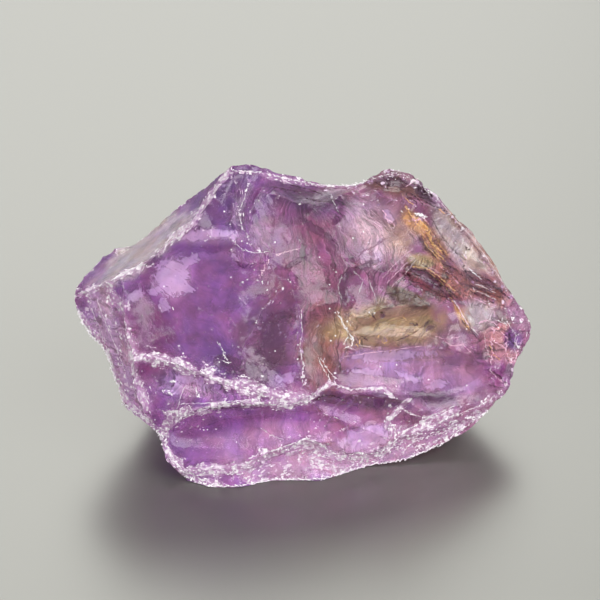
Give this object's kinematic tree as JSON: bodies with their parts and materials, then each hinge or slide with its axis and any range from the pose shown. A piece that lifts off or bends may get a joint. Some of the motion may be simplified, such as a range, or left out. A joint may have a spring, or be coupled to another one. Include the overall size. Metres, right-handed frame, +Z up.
{
  "type": "rough amethyst",
  "caption": "Rough amethyst, a broken lump of see-through violet quartz with smoky brown, olive and clear patches, shallow fracture bowls and frosty chipped ridges.",
  "frame": {"origin": "middle of the bounding box's underside, on the surface that the stone rests on", "axes": "+X along the stone's length to the right as pictured, +Y back from the pictured side, +Z up"},
  "size_m": [0.042, 0.0254, 0.025],
  "materials": {
    "amethyst": "glossy on the broken faces, frosty along the ridges"
  },
  "bodies": {
    "root": {"amethyst": "amethyst"}
  },
  "joints": []
}
